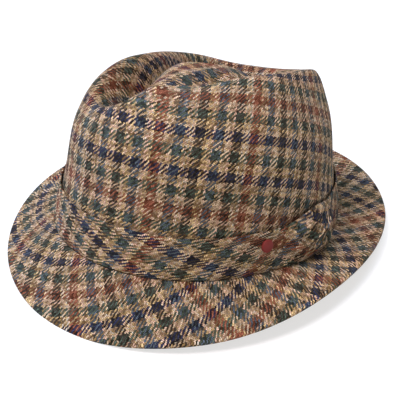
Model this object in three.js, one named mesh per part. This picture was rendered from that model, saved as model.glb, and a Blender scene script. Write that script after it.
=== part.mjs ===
// A soft cloth trilby with a narrow brim, lying on a table as it rests by itself.
// The hat is drawn upright in its own frame, with the head line at height 0, the front toward -Y and
// the wearer's left toward +X. It is then tilted back onto the front of its brim and its back edge.

import * as THREE from 'three';

// Driving sizes, in millimetres.
const headLength = 212;
const headWidth = 170;
const crownHeight = 108;
const crownWall = 2;
const brimWidth = 43;
const brimThickness = 2;
const bandHeight = 27;
const bandThickness = 1.7;
const bowHeight = 31;
const bowPuff = 6;
const bowEdge = 1.4;
const studRadius = 4.2;
const studThickness = 2;
const clearance = 0.3;
const ledge = 0.8;
const pressed = 0.8;

// Places and shapes, as angles from the front in degrees, and as shares of the sizes above.
const frontFullness = 0.03;
const studAngle = 70;
const studPlace = 0.66;
const bowStart = 79;
const bowEnd = 113;
const bowPleats = 2.5;
const bowSlant = 1.1;
const pleatDepth = 0.22;
const wallMiddle = 0.45;
const brimCurl = 1.15;
const crownTop = 0.945;

// How finely the surfaces are drawn.
const roundSteps = 72;
const crownSteps = 22;
const softenTimes = 5;
const brimSteps = 6;
const bowSteps = 18;
const bowRows = 9;

// The crown round the head: the straight wall, the crest, the groove inside it and the raised middle.
// Reaches are shares of the head line's reach, heights are shares of the crown height. The right side
// (negative angles) has the deep front pinch, the left side has the shallow one.
const crownFolds = [
  { angle: -180, wallReach: 0.855, wall: 0.57, crestReach: 0.71, crest: 0.78, grooveReach: 0.51, groove: 0.70, middleReach: 0.25, middle: 0.85 },
  { angle: -150, wallReach: 0.855, wall: 0.57, crestReach: 0.69, crest: 0.76, grooveReach: 0.49, groove: 0.69, middleReach: 0.20, middle: 0.86 },
  { angle: -122, wallReach: 0.865, wall: 0.59, crestReach: 0.58, crest: 0.845, grooveReach: 0.41, groove: 0.69, middleReach: 0.15, middle: 0.89 },
  { angle: -100, wallReach: 0.875, wall: 0.61, crestReach: 0.51, crest: 0.90, grooveReach: 0.34, groove: 0.70, middleReach: 0.12, middle: 0.92 },
  { angle: -77, wallReach: 0.885, wall: 0.63, crestReach: 0.51, crest: 0.935, grooveReach: 0.32, groove: 0.69, middleReach: 0.12, middle: 0.935 },
  { angle: -60, wallReach: 0.895, wall: 0.63, crestReach: 0.61, crest: 0.915, grooveReach: 0.37, groove: 0.67, middleReach: 0.14, middle: 0.945 },
  { angle: -48, wallReach: 0.90, wall: 0.65, crestReach: 0.745, crest: 0.83, grooveReach: 0.49, groove: 0.64, middleReach: 0.18, middle: 0.955 },
  { angle: -34, wallReach: 0.905, wall: 0.65, crestReach: 0.805, crest: 0.745, grooveReach: 0.59, groove: 0.65, middleReach: 0.28, middle: 0.965 },
  { angle: -20, wallReach: 0.905, wall: 0.67, crestReach: 0.765, crest: 0.79, grooveReach: 0.61, groove: 0.77, middleReach: 0.33, middle: 0.965 },
  { angle: 0, wallReach: 0.905, wall: 0.70, crestReach: 0.745, crest: 0.88, grooveReach: 0.59, groove: 0.94, middleReach: 0.35, middle: 0.975 },
  { angle: 22, wallReach: 0.905, wall: 0.69, crestReach: 0.545, crest: 0.945, grooveReach: 0.37, groove: 0.925, middleReach: 0.20, middle: 0.97 },
  { angle: 42, wallReach: 0.895, wall: 0.68, crestReach: 0.47, crest: 0.975, grooveReach: 0.28, groove: 0.905, middleReach: 0.10, middle: 0.955 },
  { angle: 65, wallReach: 0.885, wall: 0.67, crestReach: 0.44, crest: 1.00, grooveReach: 0.235, groove: 0.90, middleReach: 0.10, middle: 0.95 },
  { angle: 92, wallReach: 0.87, wall: 0.67, crestReach: 0.46, crest: 0.995, grooveReach: 0.265, groove: 0.88, middleReach: 0.10, middle: 0.94 },
  { angle: 115, wallReach: 0.845, wall: 0.68, crestReach: 0.54, crest: 0.97, grooveReach: 0.325, groove: 0.825, middleReach: 0.12, middle: 0.925 },
  { angle: 130, wallReach: 0.84, wall: 0.69, crestReach: 0.64, crest: 0.95, grooveReach: 0.43, groove: 0.77, middleReach: 0.17, middle: 0.90 },
  { angle: 146, wallReach: 0.84, wall: 0.69, crestReach: 0.71, crest: 0.895, grooveReach: 0.49, groove: 0.72, middleReach: 0.20, middle: 0.88 },
  { angle: 163, wallReach: 0.845, wall: 0.63, crestReach: 0.72, crest: 0.83, grooveReach: 0.51, groove: 0.70, middleReach: 0.25, middle: 0.86 },
];

// The brim round the head: its width as a share of the brim width, and its slope in degrees.
const brimTurns = [
  { angle: -180, width: 0.78, slope: 16 },
  { angle: -135, width: 0.70, slope: 10 },
  { angle: -90, width: 0.66, slope: -5 },
  { angle: -45, width: 0.86, slope: -41 },
  { angle: 0, width: 1.00, slope: -58 },
  { angle: 45, width: 0.86, slope: -41 },
  { angle: 90, width: 0.68, slope: -5 },
  { angle: 135, width: 0.70, slope: 10 },
];

// The band's thickness up its height, both as shares: a firm foot, two soft folds and a thin top edge.
const bandFolds = [
  { height: 0, thickness: 1 },
  { height: 0.32, thickness: 0.8 },
  { height: 0.56, thickness: 1 },
  { height: 0.80, thickness: 0.8 },
  { height: 1, thickness: 0.6 },
];

const radians = THREE.MathUtils.degToRad;
const { clamp, lerp } = THREE.MathUtils;

// A smooth cubic between two knots, with the slope at each knot taken from its neighbours.
function cubicStep(before, from, to, after, t) {
  const slopeAt = (a, b, c) => {
    const left = (b.value - a.value) / (b.at - a.at);
    const right = (c.value - b.value) / (c.at - b.at);
    return (left * (c.at - b.at) + right * (b.at - a.at)) / (c.at - a.at);
  };
  const span = to.at - from.at;
  const s = (t - from.at) / span;
  const startSlope = before ? slopeAt(before, from, to) : (to.value - from.value) / span;
  const endSlope = after ? slopeAt(from, to, after) : (to.value - from.value) / span;
  const startPull = (s ** 3 - 2 * s ** 2 + s) * span * startSlope;
  const endPull = (s ** 3 - s ** 2) * span * endSlope;
  return lerp(from.value, to.value, 3 * s ** 2 - 2 * s ** 3) + startPull + endPull;
}

// One column of a table that goes round the head, read smoothly at any angle.
function readRound(rows, column, angle) {
  const turn = 360;
  const count = rows.length;
  const knot = (i) => {
    const laps = Math.floor(i / count);
    const row = rows[i - laps * count];
    return { at: row.angle + laps * turn, value: row[column] };
  };
  const wrapped = angle - turn * Math.floor((angle - rows[0].angle) / turn);
  const after = rows.findIndex((row) => row.angle > wrapped);
  const from = (after < 0 ? count : after) - 1;
  return cubicStep(knot(from - 1), knot(from), knot(from + 1), knot(from + 2), wrapped);
}

// The head line: an oval that is a little fuller at the front. A margin grows or shrinks it.
function headPoint(angle, margin) {
  const turn = radians(angle);
  const fullness = 1 + frontFullness * Math.cos(turn);
  const x = (headWidth / 2 + margin) * Math.sin(turn) * fullness;
  const y = -(headLength / 2 + margin) * Math.cos(turn);
  return new THREE.Vector3(x, y, 0);
}

// The level direction that points straight out of the head line.
function outward(angle) {
  const step = 0.5;
  const along = headPoint(angle + step, 0).sub(headPoint(angle - step, 0));
  return new THREE.Vector3(along.y, -along.x, 0).normalize();
}

// The crown stands inside the band, so its own head line is smaller by the band and a gap.
const crownMargin = -(bandThickness + clearance);

// The crown's outline at one angle, from the head line up over the crest and in to the middle.
function crownOutline(angle) {
  const read = (column) => readRound(crownFolds, column, angle);
  const middle = { reach: read('middleReach'), height: read('middle') };
  const wall = { reach: read('wallReach'), height: read('wall') };
  const knots = [
    { reach: 1, height: 0 },
    { reach: lerp(1, wall.reach, wallMiddle), height: wall.height / 2 },
    wall,
    { reach: read('crestReach'), height: read('crest') },
    { reach: read('grooveReach'), height: read('groove') },
    middle,
    { reach: 0, height: crownTop },
    { reach: -middle.reach, height: middle.height },
  ];
  return smoothOutline(knots, headPoint(angle, crownMargin).length(), crownSteps);
}

// Even steps along a smooth line through the knots, from the first to the last but one.
function smoothOutline(knots, fullReach, steps) {
  const evenness = 0.6;
  const sized = knots.map((knot) => new THREE.Vector2(knot.reach * fullReach, knot.height * crownHeight));
  const marks = [0];
  for (let i = 1; i < sized.length; i += 1) {
    marks.push(marks[i - 1] + sized[i].distanceTo(sized[i - 1]) ** evenness);
  }
  const end = marks[marks.length - 2];
  return Array.from({ length: steps + 1 }, (unused, step) => {
    const t = (end * step) / steps;
    const from = clamp(marks.findIndex((mark) => mark > t) - 1, 0, marks.length - 2);
    const knot = (i, axis) => sized[i] && { at: marks[i], value: sized[i][axis] };
    const read = (axis) =>
      cubicStep(knot(from - 1, axis), knot(from, axis), knot(from + 1, axis), knot(from + 2, axis), t);
    return new THREE.Vector2(step === steps ? 0 : read('x'), read('y'));
  });
}

// A point on the outside of the crown wall at a height, moved straight out by a margin.
function wallPoint(angle, height, margin) {
  const outline = crownOutline(angle);
  const above = outline.findIndex((point) => point.y > height);
  const share = (height - outline[above - 1].y) / (outline[above].y - outline[above - 1].y);
  const reach = lerp(outline[above - 1].x, outline[above].x, share);
  const point = headPoint(angle, crownMargin).setLength(reach);
  point.z = height;
  return point.addScaledVector(outward(angle), margin);
}

// A closed solid from sections that follow each other. Closed sections are loops; open ones start
// and end in a point that all of them share. A row of sections that doesn't meet itself gets two caps.
function solidThrough(sections, { loops = true, meets = true } = {}) {
  const positions = [];
  const rows = sections[0].length;
  for (const section of sections) {
    for (const point of section) positions.push(...point.toArray());
  }
  const index = [];
  const corner = (section, row) => {
    const atPole = !loops && (row === 0 || row === rows - 1);
    return (atPole ? 0 : section % sections.length) * rows + (row % rows);
  };
  const lastSection = meets ? sections.length : sections.length - 1;
  const lastRow = loops ? rows : rows - 1;
  const pointAt = (at) => sections[Math.floor(at / rows)][at % rows];
  for (let i = 0; i < lastSection; i += 1) {
    for (let j = 0; j < lastRow; j += 1) {
      const quad = [corner(i, j), corner(i + 1, j), corner(i + 1, j + 1), corner(i, j + 1)];
      splitQuad(index, quad, quad.map(pointAt));
    }
  }
  if (!meets) addCaps(index, rows, sections.length);
  const geometry = new THREE.BufferGeometry();
  geometry.setAttribute('position', new THREE.Float32BufferAttribute(positions, 3));
  geometry.setIndex(index);
  geometry.computeVertexNormals();
  return geometry;
}

// Two triangles across the shorter diagonal of a quad, or one where a pole makes two corners the same.
function splitQuad(index, [a, b, c, d], [pointA, pointB, pointC, pointD]) {
  if (a === b || c === d) {
    const third = a === b ? [a, c, d] : [a, b, c];
    index.push(...third);
  } else if (pointA.distanceTo(pointC) <= pointB.distanceTo(pointD)) {
    index.push(a, b, c, a, c, d);
  } else {
    index.push(a, b, d, b, c, d);
  }
}

// The two ends of a row of loops. A loop's first half is paired with its second half, row by row.
function addCaps(index, rows, count) {
  const last = (count - 1) * rows;
  for (let j = 0; j < rows / 2 - 1; j += 1) {
    const near = [j, j + 1, rows - 2 - j, rows - 1 - j];
    const far = near.map((corner) => corner + last);
    index.push(near[0], near[1], near[2], near[0], near[2], near[3]);
    index.push(far[0], far[2], far[1], far[0], far[3], far[2]);
  }
}

function everyAngle(makeSection) {
  return Array.from({ length: roundSteps }, (unused, i) => makeSection((360 * i) / roundSteps));
}

// The crown: its outer skin, and the same skin moved in by the cloth's thickness.
function makeCrown() {
  const drawn = everyAngle((angle) => {
    const direction = headPoint(angle, crownMargin).normalize();
    return crownOutline(angle).map((p) => new THREE.Vector3(direction.x * p.x, direction.y * p.x, p.y));
  });
  const outer = soften(drawn, softenTimes);
  const inner = outer.map((column, i) =>
    column.map((point, j) => point.clone().addScaledVector(skinNormal(outer, i, j), -crownWall)));
  const sections = outer.map((column, i) => [...[...inner[i]].reverse(), ...column]);
  return solidThrough(sections, { loops: false });
}

// Felted cloth has no hard creases: above the wall, each point moves toward its four neighbours.
function soften(columns, times) {
  if (times === 0) return columns;
  const count = columns.length;
  const firstSoft = Math.round(crownSteps * 0.4);
  const softened = columns.map((column, i) => column.map((point, j) => {
    if (j < firstSoft) return point.clone();
    const next = columns[(i + 1) % count];
    const last = columns[(i + count - 1) % count];
    const sides = j === crownSteps
      ? columns.map((other) => other[j - 1])
      : [next[j], last[j], column[j + 1], column[j - 1]];
    const average = sides.reduce((sum, side) => sum.add(side), new THREE.Vector3()).divideScalar(sides.length);
    const pull = j === crownSteps ? 1 : clamp((j - firstSoft + 1) / 3, 0, 1) / 2;
    return point.clone().lerp(average, pull);
  }));
  return soften(softened, times - 1);
}

// The direction out of the crown's skin: level at the head line, upright at the middle.
function skinNormal(columns, i, j) {
  const count = columns.length;
  const column = columns[i];
  if (j === column.length - 1) return new THREE.Vector3(0, 0, 1);
  const along = columns[(i + 1) % count][j].clone().sub(columns[(i + count - 1) % count][j]);
  const up = column[j + 1].clone().sub(column[Math.max(j - 1, 0)]);
  const normal = along.cross(up);
  if (j === 0) normal.z = 0;
  return normal.normalize();
}

// The brim's upper side at one angle: how far out of the head line, and how high.
function brimOutline(angle) {
  const width = brimWidth * readRound(brimTurns, 'width', angle);
  const slope = radians(readRound(brimTurns, 'slope', angle));
  const innerEdge = crownMargin - crownWall;
  const outline = [new THREE.Vector2(innerEdge, -clearance)];
  for (let step = 0; step <= brimSteps; step += 1) {
    const share = step / brimSteps;
    const drop = width * Math.sin(slope) * share ** brimCurl;
    outline.push(new THREE.Vector2(ledge + width * Math.cos(slope) * share, drop - clearance));
  }
  return outline;
}

// The brim's underside follows its upper side at the cloth's thickness.
function brimSection(angle) {
  const upper = brimOutline(angle);
  const under = upper.map((point, i) => {
    const along = upper[Math.min(i + 1, upper.length - 1)].clone().sub(upper[Math.max(i - 1, 0)]);
    if (i === 0) along.set(1, 0);
    along.normalize();
    return new THREE.Vector2(point.x + along.y * brimThickness, point.y - along.x * brimThickness);
  });
  const place = ({ x, y }) => {
    const inside = x < 0 ? x : 0;
    const point = headPoint(angle, inside).addScaledVector(outward(angle), x - inside);
    point.z = y;
    return point;
  };
  return [...upper, ...under.reverse()].map(place);
}

// The hat tilts back until the front of its brim and its back edge are equally low.
function findRest() {
  const lowest = (angle) => brimSection(angle).reduce((low, point) => (point.z < low.z ? point : low));
  const front = lowest(0);
  const back = lowest(180);
  const tilt = Math.atan2(back.z - front.z, back.y - front.y);
  const lift = front.y * Math.sin(tilt) - front.z * Math.cos(tilt) - pressed;
  return { tilt, lift };
}

// The table, seen from the tilted hat: cloth that would go below it lies flat on it.
function layOnTable(point, { tilt, lift }) {
  const table = (point.y * Math.sin(tilt) - lift) / Math.cos(tilt);
  point.z = Math.max(point.z, table);
  return point;
}

function makeBrim(rest) {
  const sections = everyAngle((angle) => brimSection(angle).map((point) => layOnTable(point, rest)));
  return solidThrough(sections.map((section) => section.reverse()));
}

// The band: a strip of the cloth round the foot of the crown, with soft folds along it.
function makeBand() {
  const section = (angle) => {
    const outside = bandFolds.map((fold) =>
      wallPoint(angle, fold.height * bandHeight, clearance + fold.thickness * bandThickness));
    const inside = bandFolds.map((fold) => wallPoint(angle, fold.height * bandHeight, clearance));
    return [...outside, ...inside.reverse()];
  };
  return solidThrough(everyAngle(section));
}

// How far the bow stands out of the band: a cushion with slanting pleats, thin at its rim.
function bowThickness(across, up) {
  const cushion = Math.sqrt(Math.sin(Math.PI * across) * Math.sin(Math.PI * up));
  const pleat = 1 + pleatDepth * Math.cos(2 * Math.PI * bowPleats * (across - up / bowSlant));
  return bowEdge + bowPuff * cushion * pleat;
}

// The height of the brim's upper side at a place outside the head line.
function brimHeightAt(angle, margin) {
  const outline = brimOutline(angle);
  const next = outline.findIndex((point) => point.x > margin);
  const share = (margin - outline[next - 1].x) / (outline[next].x - outline[next - 1].x);
  return lerp(outline[next - 1].y, outline[next].y, share);
}

// The bow: the gathered end of the band, on the wearer's left.
function makeBow() {
  const foot = bandThickness + 2 * clearance;
  const sections = Array.from({ length: bowSteps + 1 }, (unused, step) => {
    const across = step / bowSteps;
    const angle = lerp(bowStart, bowEnd, across);
    const start = Math.max(brimHeightAt(angle, bowPuff), -clearance) + clearance;
    const side = (thickness) => Array.from({ length: bowRows + 1 }, (none, row) => {
      const up = row / bowRows;
      return wallPoint(angle, lerp(start, bowHeight, up), foot + thickness(up));
    });
    const outside = side((up) => bowThickness(across, up));
    const inside = side(() => 0);
    return [...outside, ...inside.reverse()];
  });
  return solidThrough(sections, { meets: false });
}

// The stud: a plain round button of enamelled metal with a domed face, drawn about the Y axis.
function makeStud() {
  const dome = 5;
  const edge = studThickness / 2;
  const profile = [new THREE.Vector2(0, 0), new THREE.Vector2(studRadius, 0)];
  for (let step = 0; step <= dome; step += 1) {
    const turn = (Math.PI / 2) * (step / dome);
    const reach = step === dome ? 0 : studRadius * Math.cos(turn);
    profile.push(new THREE.Vector2(reach, edge + (studThickness - edge) * Math.sin(turn)));
  }
  const sides = 24;
  return new THREE.LatheGeometry(profile, sides);
}

function placeStud(stud) {
  const height = studPlace * bandHeight;
  const margin = bandThickness + 2 * clearance;
  const reachOf = (atHeight) => wallPoint(studAngle, atHeight, margin);
  const across = reachOf(height + studRadius).sub(reachOf(height - studRadius));
  const sideways = new THREE.Vector3(0, 0, 1).cross(outward(studAngle));
  const facing = sideways.cross(across).normalize();
  stud.position.copy(reachOf(height));
  stud.quaternion.setFromUnitVectors(new THREE.Vector3(0, 1, 0), facing);
  return stud;
}

function cloth(colour) {
  return new THREE.MeshStandardMaterial({ color: colour, roughness: 0.95, metalness: 0 });
}

function piece(name, geometry, material) {
  const mesh = new THREE.Mesh(geometry, material);
  mesh.name = name;
  return mesh;
}

function makeHat() {
  const rest = findRest();
  const enamel = new THREE.MeshStandardMaterial({ color: 0x7c2f2b, roughness: 0.35, metalness: 0.2 });
  const hat = new THREE.Group();
  hat.add(piece('crown', makeCrown(), cloth(0x8a7860)));
  hat.add(piece('brim', makeBrim(rest), cloth(0x84745e)));
  hat.add(piece('band', makeBand(), cloth(0x7d6e5a)));
  hat.add(piece('bow', makeBow(), cloth(0x7a6b58)));
  hat.add(placeStud(piece('stud', makeStud(), enamel)));
  hat.rotation.x = -rest.tilt;
  hat.position.z = rest.lift;
  return hat;
}

// The origin is under the middle of the hat, on the table.
const group = new THREE.Group();
const hat = makeHat();
group.add(hat);
const middle = new THREE.Box3().setFromObject(hat, true).getCenter(new THREE.Vector3());
hat.position.x -= middle.x;
hat.position.y -= middle.y;

export default group;
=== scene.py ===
# %% [markdown]
# # A checked wool trilby
# This lesson dresses a soft cloth hat that lies on a table. The plain solids of the hat come from the
# imported frame. Each one is replaced here by a finer sheet of cloth in the same place, and all of them wear
# one woven material that is drawn thread by thread.

# %% Load the frame
import math

import bpy
import numpy as np
from mathutils import Matrix, Vector


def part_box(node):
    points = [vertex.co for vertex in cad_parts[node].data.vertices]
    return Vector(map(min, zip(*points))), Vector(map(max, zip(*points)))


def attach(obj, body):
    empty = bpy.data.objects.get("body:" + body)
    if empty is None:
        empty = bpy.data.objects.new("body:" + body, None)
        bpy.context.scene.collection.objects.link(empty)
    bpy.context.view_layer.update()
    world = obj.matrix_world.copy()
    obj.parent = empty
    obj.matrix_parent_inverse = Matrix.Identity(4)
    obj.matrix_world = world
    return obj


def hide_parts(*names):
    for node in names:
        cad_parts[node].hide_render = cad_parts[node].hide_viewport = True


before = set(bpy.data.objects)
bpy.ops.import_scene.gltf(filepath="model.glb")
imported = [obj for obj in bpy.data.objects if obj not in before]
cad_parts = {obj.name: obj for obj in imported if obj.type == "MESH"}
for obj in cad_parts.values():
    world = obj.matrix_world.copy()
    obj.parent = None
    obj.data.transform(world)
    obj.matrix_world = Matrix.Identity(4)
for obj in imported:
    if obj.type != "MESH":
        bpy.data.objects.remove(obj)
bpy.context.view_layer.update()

MM = 0.001
print("nodes:", sorted(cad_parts))

# %% [markdown]
# ## The sizes of the hat
# A hat maker works from the head line, the oval where the crown meets the brim. Everything else is a
# height above it, a width beyond it or a thickness. The sizes are in millimetres and are the same ones that
# the solids were made from, so each sheet of cloth lands where its solid is.

# %% Sizes
HEAD_LENGTH = 212
HEAD_WIDTH = 170
FRONT_FULLNESS = 0.03  # how much fuller than an ellipse the head line is at the front
CROWN_HEIGHT = 108
CROWN_TOP = 0.945  # the height of the crown's middle, as a share of the crown's height
CROWN_WALL = 2
BRIM_WIDTH = 43
BRIM_THICKNESS = 2
BRIM_CURL = 1.15  # 1 is a straight slope, and more starts level and gets steeper
BAND_HEIGHT = 27
BAND_THICKNESS = 1.7
CLEARANCE = 0.3  # the gap that is left between two pieces of cloth
LEDGE = 0.8  # how far out of the head line the brim begins to slope
PRESSED = 0.8  # how far the cloth gives way where it lies on the table
CROWN_MARGIN = -(BAND_THICKNESS + CLEARANCE)
FULL_TURN = 360
print("crown's foot, mm:", HEAD_LENGTH + 2 * CROWN_MARGIN, "by", HEAD_WIDTH + 2 * CROWN_MARGIN)

# %% [markdown]
# ## The shape of the crown as a table
# A pinched crown could be sculpted or simulated, but a hatter shapes it over a block, and the block is
# easy to describe. At a few angles round the head the outline goes up the wall, over the crest, down into
# the groove and up to the raised middle. Reaches are shares of the head line's reach, and heights are
# shares of the crown's height. A smooth curve through the rows gives every outline between them. The brim
# has its own small table, with its width as a share and its slope in degrees.

# %% The crown's folds
FOLD_COLUMNS = ("angle", "wall_reach", "wall", "crest_reach", "crest",
                "groove_reach", "groove", "middle_reach", "middle")
CROWN_FOLDS = np.array([
    (-180, 0.855, 0.57, 0.71, 0.78, 0.51, 0.70, 0.25, 0.85),
    (-150, 0.855, 0.57, 0.69, 0.76, 0.49, 0.69, 0.20, 0.86),
    (-122, 0.865, 0.59, 0.58, 0.845, 0.41, 0.69, 0.15, 0.89),
    (-100, 0.875, 0.61, 0.51, 0.90, 0.34, 0.70, 0.12, 0.92),
    (-77, 0.885, 0.63, 0.51, 0.935, 0.32, 0.69, 0.12, 0.935),
    (-60, 0.895, 0.63, 0.65, 0.92, 0.37, 0.67, 0.14, 0.945),
    (-48, 0.90, 0.65, 0.765, 0.845, 0.49, 0.64, 0.18, 0.955),
    (-34, 0.905, 0.65, 0.805, 0.745, 0.59, 0.65, 0.28, 0.965),
    (-20, 0.905, 0.67, 0.765, 0.79, 0.61, 0.77, 0.33, 0.965),
    (0, 0.905, 0.70, 0.745, 0.88, 0.59, 0.94, 0.35, 0.975),
    (22, 0.905, 0.69, 0.545, 0.945, 0.37, 0.925, 0.20, 0.97),
    (42, 0.895, 0.68, 0.47, 0.975, 0.28, 0.905, 0.10, 0.955),
    (65, 0.885, 0.67, 0.44, 1.00, 0.235, 0.90, 0.10, 0.95),
    (92, 0.87, 0.67, 0.46, 0.995, 0.265, 0.88, 0.10, 0.94),
    (115, 0.845, 0.68, 0.54, 0.97, 0.325, 0.825, 0.12, 0.925),
    (130, 0.84, 0.69, 0.64, 0.95, 0.43, 0.77, 0.17, 0.90),
    (146, 0.84, 0.69, 0.71, 0.895, 0.49, 0.72, 0.20, 0.88),
    (163, 0.845, 0.63, 0.72, 0.83, 0.51, 0.70, 0.25, 0.86),
])
print(len(CROWN_FOLDS), "outlines of the crown, each with", ", ".join(FOLD_COLUMNS))

# %% The brim's turns
TURN_COLUMNS = ("angle", "width", "slope")
BRIM_TURNS = np.array([
    (-180, 0.78, 16),
    (-135, 0.70, 10),
    (-90, 0.66, -5),
    (-45, 0.86, -41),
    (0, 1.00, -58),
    (45, 0.86, -41),
    (90, 0.68, -5),
    (135, 0.70, 10),
])
print(len(BRIM_TURNS), "places on the brim, each with", ", ".join(TURN_COLUMNS))


# %% Smooth curves through a table
def smooth_through(places, knots, values):
    """A cubic through the knots, whose slope at each knot comes from its two neighbours."""
    spans = np.diff(knots)
    slopes = np.diff(values, axis=0) / spans[:, None]
    pulls = np.empty_like(values)
    pulls[1:-1] = slopes[:-1] * spans[1:, None] + slopes[1:] * spans[:-1, None]
    pulls[1:-1] /= (spans[:-1] + spans[1:])[:, None]
    pulls[0] = slopes[0]
    pulls[-1] = slopes[-1]
    at = np.clip(np.searchsorted(knots, places, side="right") - 1, 0, len(spans) - 1)
    s = ((places - knots[at]) / spans[at])[:, None]
    span = spans[at][:, None]
    start = (2 * s**3 - 3 * s**2 + 1) * values[at] + (s**3 - 2 * s**2 + s) * span * pulls[at]
    end = (3 * s**2 - 2 * s**3) * values[at + 1] + (s**3 - s**2) * span * pulls[at + 1]
    return start + end


def read_round(table, angles):
    """Every column of a table that goes round the head, at any angles in degrees."""
    half = FULL_TURN / 2
    wrapped = (np.asarray(angles, float) + half) % FULL_TURN - half
    knots = np.concatenate([table[-2:, 0] - FULL_TURN, table[:, 0], table[:3, 0] + FULL_TURN])
    values = np.concatenate([table[-2:, 1:], table[:, 1:], table[:3, 1:]])
    return smooth_through(wrapped, knots, values)


print("brim's slope at 30 degrees:", round(float(read_round(BRIM_TURNS, [30.0])[0, 1]), 1))


# %% Small helpers for grids
def unit(vectors):
    """The same directions, each one long."""
    return vectors / np.linalg.norm(vectors, axis=-1, keepdims=True)


def running_total(steps, axis=0):
    """The sum of the steps so far, which starts from nothing."""
    nothing = np.zeros_like(np.take(steps, [0], axis=axis))
    return np.concatenate([nothing, np.cumsum(steps, axis=axis)], axis=axis)


def length_along(grid, axis=0):
    """How far each point lies along its line of a grid, from the line's first point."""
    return running_total(np.linalg.norm(np.diff(grid, axis=axis), axis=-1), axis)


def closed(grid):
    """A grid round the head with its first column once more at the end."""
    return np.concatenate([grid, grid[:1]])


def closed_turn(angles):
    """Angles round the head with the first one once more, a full turn on."""
    return np.append(angles, angles[0] + FULL_TURN)


# %% The head line
def head_line(angles, margin=0.0):
    """Points of the head line, x and y, grown by a margin. The front is at angle 0 and faces -Y."""
    turn = np.radians(angles)
    x = (HEAD_WIDTH / 2 + margin) * np.sin(turn) * (1 + FRONT_FULLNESS * np.cos(turn))
    y = -(HEAD_LENGTH / 2 + margin) * np.cos(turn)
    return np.stack([x, y], axis=-1)


def outward(angles):
    """The level direction that points straight out of the head line."""
    half_degree = 0.5
    along = head_line(np.asarray(angles) + half_degree) - head_line(np.asarray(angles) - half_degree)
    return unit(np.stack([along[..., 1], -along[..., 0]], axis=-1))


def round_the_head(count):
    """Evenly spaced angles, from the back round to the back."""
    return np.arange(count) * FULL_TURN / count - FULL_TURN / 2


def arc_round_the_head(angles):
    """The length along the head line from the front, positive toward the wearer's left."""
    farthest, per_degree = 400, 4
    fine = np.linspace(-farthest, farthest, 2 * farthest * per_degree + 1)
    length = length_along(head_line(fine))
    return np.interp(angles, fine, length - np.interp(0, fine, length))


print("head line, mm round:", round(float(arc_round_the_head(180) - arc_round_the_head(-180))))

# %% [markdown]
# ## How the hat rests
# The hat is drawn upright, with the head line at height 0. A real trilby with a snapped brim tips back when
# it is put down, until the front edge of the brim and the cloth under the back of the crown both touch.
# Cloth that would go below the table lies flat on it. The same small sum gives the tilt here. It is worked
# out from as many columns and steps as the brim's solid has, so that both rest in the same place.


# %% The brim's outline
def brim_outline(angles, steps):
    """The upper side at each angle: how far out of the head line, and how high, for steps + 2 points."""
    width, slope = read_round(BRIM_TURNS, angles).T
    width = width * BRIM_WIDTH
    slope = np.radians(slope)
    share = np.linspace(0, 1, steps + 1)
    out = LEDGE + np.outer(width * np.cos(slope), share)
    high = np.outer(width * np.sin(slope), share**BRIM_CURL) - CLEARANCE
    inner = np.full((len(out), 1), CROWN_MARGIN - CROWN_WALL)
    out = np.concatenate([inner, out], axis=1)
    high = np.concatenate([np.full_like(inner, -CLEARANCE), high], axis=1)
    return out, high


def place_out(angles, out, high):
    """Points beyond or inside the head line, as x, y and z."""
    inside = np.minimum(out, 0)
    level = head_line(angles[:, None], inside)
    level = level + outward(angles)[:, None, :] * (out - inside)[..., None]
    return np.concatenate([level, high[..., None]], axis=-1)


def brim_skins(angles, steps):
    """The brim's upper side and its underside, as two grids of points."""
    out, high = brim_outline(angles, steps)
    along_out = np.gradient(out, axis=1)
    along_high = np.gradient(high, axis=1)
    along_high[:, 0] = 0
    length = np.hypot(along_out, along_high)
    under_out = out + along_high / length * BRIM_THICKNESS
    under_high = high - along_out / length * BRIM_THICKNESS
    return place_out(angles, out, high), place_out(angles, under_out, under_high)


# %% The tilt and the lift
SOLID_ROUND = 72
SOLID_STEPS = 6


def find_rest():
    """The tilt, in radians, and the lift of the head line that set the hat on the table."""
    upper, under = brim_skins(np.array([0.0, FULL_TURN / 2]), SOLID_STEPS)
    front = min(np.concatenate([upper[0], under[0]]), key=lambda point: point[2])
    back = min(np.concatenate([upper[1], under[1]]), key=lambda point: point[2])
    tilt = math.atan2(back[2] - front[2], back[1] - front[1])
    lift = front[1] * math.sin(tilt) - front[2] * math.cos(tilt) - PRESSED
    return tilt, lift


TILT, LIFT = find_rest()
print("tilt, degrees:", round(math.degrees(TILT), 2), "lift, mm:", round(LIFT, 2))


# %% From the upright hat to the table
def tip(points):
    """Hat points in millimetres to places on the table in millimetres, before the hat is centred."""
    x, y, z = np.moveaxis(np.asarray(points, float), -1, 0)
    back = y * math.cos(TILT) + z * math.sin(TILT)
    high = z * math.cos(TILT) - y * math.sin(TILT) + LIFT
    return np.stack([x, back, high], axis=-1)


def find_centre():
    """The middle of the brim as the solids have it, which lies on the origin."""
    rows = np.concatenate(brim_skins(round_the_head(SOLID_ROUND), SOLID_STEPS))
    placed = tip(rows).reshape(-1, 3)
    return (placed.min(axis=0) + placed.max(axis=0)) / 2 * (1, 1, 0)


CENTRE = find_centre()


def on_table(points):
    """Hat points in millimetres to the scene's metres. Nothing goes below the table."""
    placed = tip(points) - CENTRE
    placed[..., 2] = np.maximum(placed[..., 2], 0)
    return placed * MM


for node in ("crown", "brim", "band"):
    low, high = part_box(node)
    print(node, "solid, mm:", [round(v / MM, 1) for v in (*low, *high)])

# %% [markdown]
# ## The camera
# The photograph was taken from the front left of the wearer, from about the height of a standing person,
# with a long lens. The camera's place was found by comparing renders with the photograph.

# %% Camera
CAMERA_PLACE = Vector((463.7, -551.3, 479.1)) * MM
LOOK_AT = Vector((-0.9, -3.0, 25.2)) * MM
CAMERA_ROLL = math.radians(-0.43)
LENS = 116.2
SENSOR = 36
NEAREST = 0.05


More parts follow.
